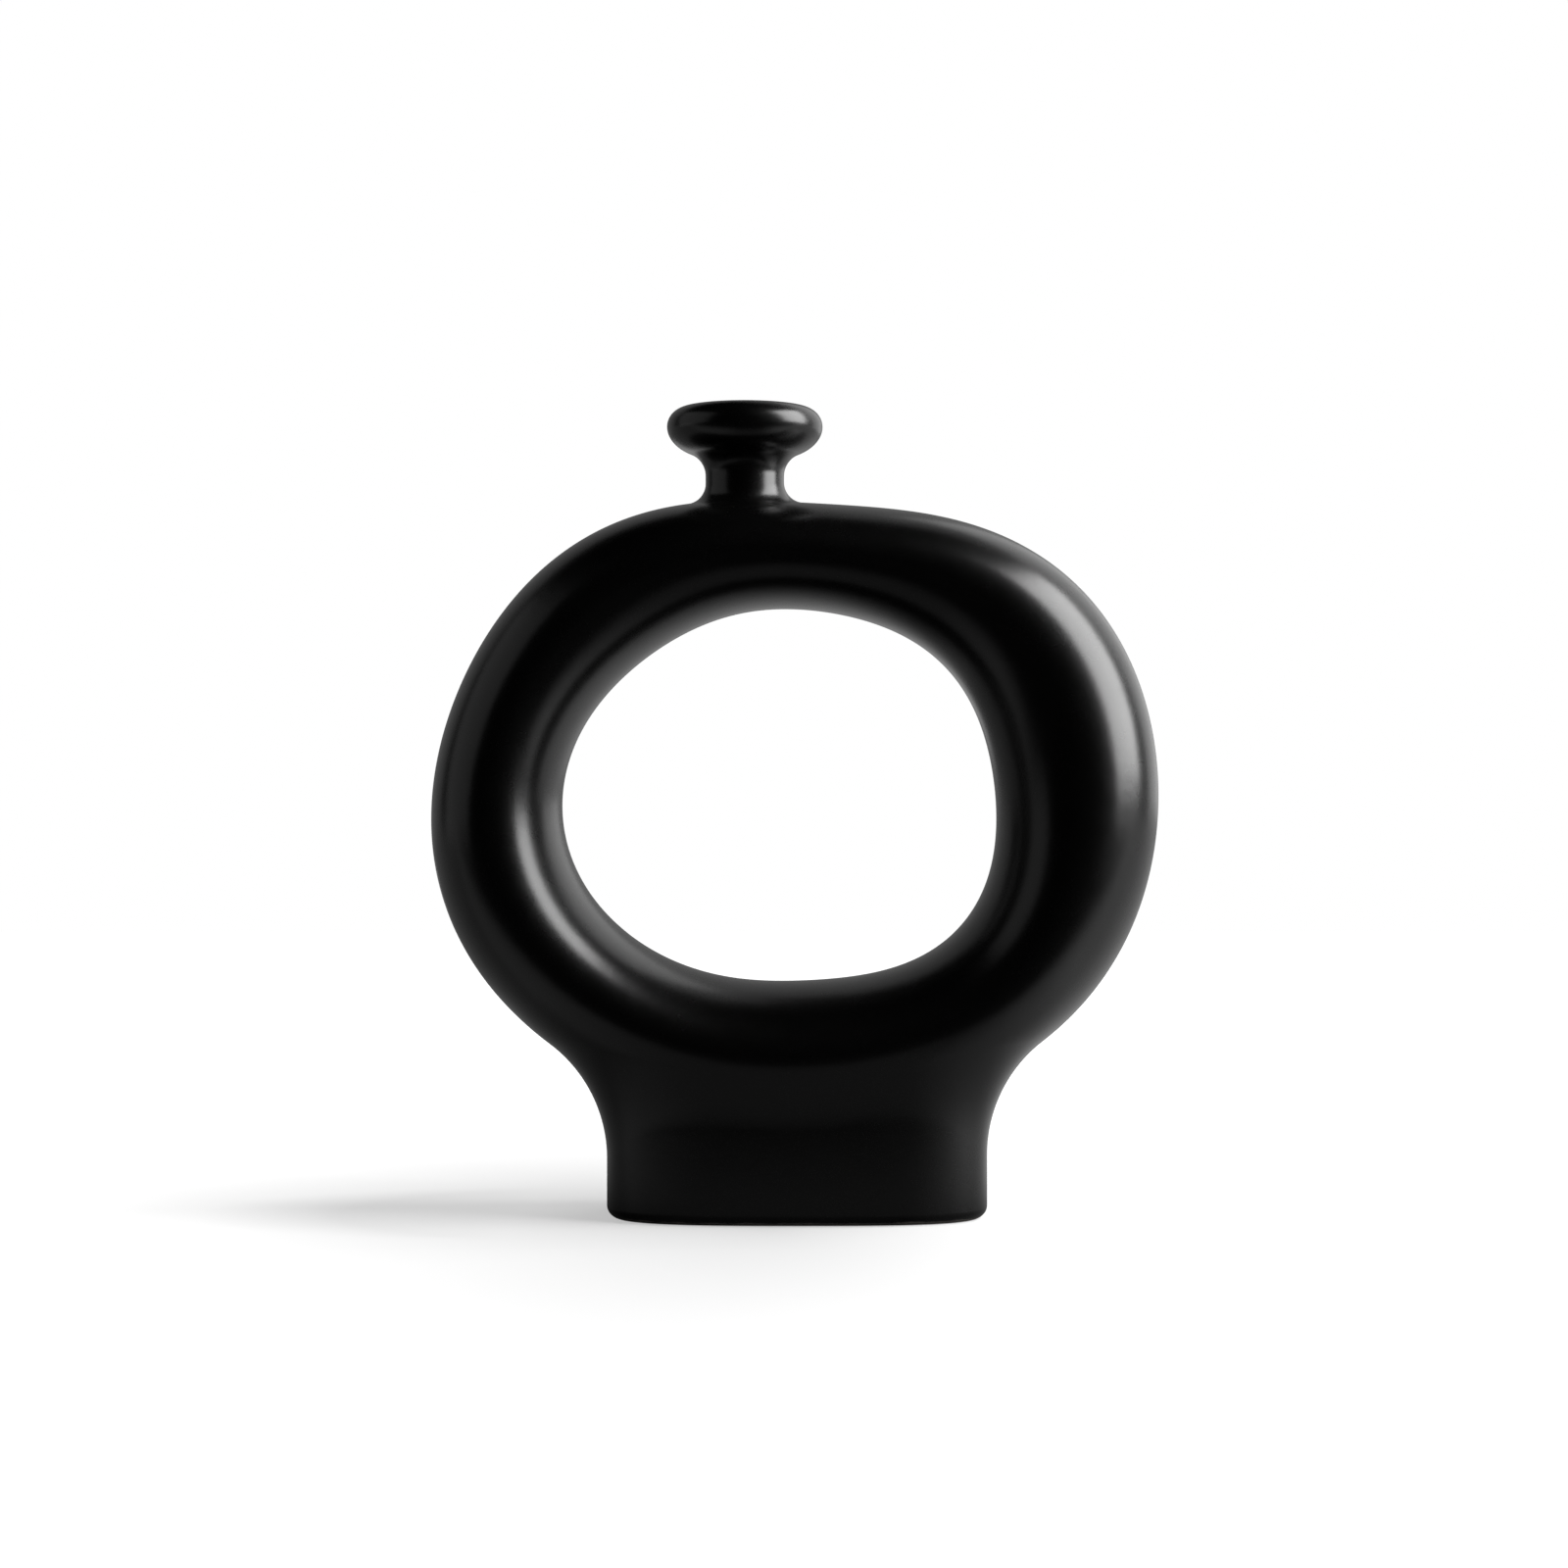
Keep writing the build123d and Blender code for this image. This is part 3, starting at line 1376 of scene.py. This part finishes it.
@dataclass(frozen=True)
class Studio:
    """White table and backdrop, a softbox on the right, three dimmer panels, and the camera in front."""

    camera_distance: float = 0.90
    camera_x: float = -0.0032
    camera_z: float = 0.1325
    frame_width: float = 0.484
    sensor: float = 36.0
    ambient: float = 0.05
    lamps: tuple[Softbox, ...] = (
        Softbox("key_softbox", (0.90, -0.15, 0.62), RING_MIDDLE, width=0.78, height=0.95, radiance=10.0),
        Softbox("right_panel", (0.85, 0.95, 0.75), RING_MIDDLE, width=1.10, height=1.50, radiance=0.9),
        Softbox("top_panel", (1.05, 1.60, 2.90), RING_TOP, width=1.90, height=1.40, radiance=0.28),
        Softbox("left_panel", (-1.15, -0.13, 0.55), RING_MIDDLE, width=1.30, height=1.10, radiance=0.32),
    )

    def _world(self) -> None:
        """White for the camera, a little light from all round, and dark in the glaze."""
        world = bpy.data.worlds.new("studio")
        world.use_nodes = True
        graph = Graph(world.node_tree)
        strength = graph.straight() + graph.ray(Ray.DIFFUSE) * self.ambient
        sky = graph.add("ShaderNodeBackground", {}, {"Color": WHITE, "Strength": strength})
        graph.node("ShaderNodeOutputWorld", {}, {"Surface": sky})
        bpy.context.scene.world = world

    def _camera(self) -> None:
        """Level camera in front, at the height of the middle of the picture."""
        lens = bpy.data.cameras.new("camera")
        lens.sensor_width = self.sensor
        lens.lens = self.sensor * self.camera_distance / self.frame_width
        made = bpy.data.objects.new("camera", lens)
        made.location = (self.camera_x, -self.camera_distance, self.camera_z)
        made.rotation_euler = (math.pi / 2, 0.0, 0.0)
        bpy.context.scene.collection.objects.link(made)
        bpy.context.scene.camera = made

    def build(self) -> None:
        """Table, backdrop, lamps, world and camera."""
        Table().build()
        Backdrop().build()
        for lamp in self.lamps:
            lamp.build()
        self._world()
        self._camera()
        bpy.context.scene.view_settings.view_transform = "Standard"


def main() -> None:
    """Build the parts of the vase in order, dress them and set up the studio."""
    logging.basicConfig(level=logging.INFO, format="%(message)s")
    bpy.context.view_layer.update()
    finishes = Finishes.fired()
    throwing = Throwing()
    parts = [
        RingHalf(Side.FRONT, ("ring_front", "left_seam", "right_seam", "hole_seam"), throwing),
        RingHalf(Side.BACK, ("ring_back",), throwing),
        Foot(throwing),
        Neck(throwing),
        Lip(throwing),
    ]
    for part in parts:
        part.dress(part.build(), finishes)
    Studio().build()


if __name__ == "__main__":
    main()
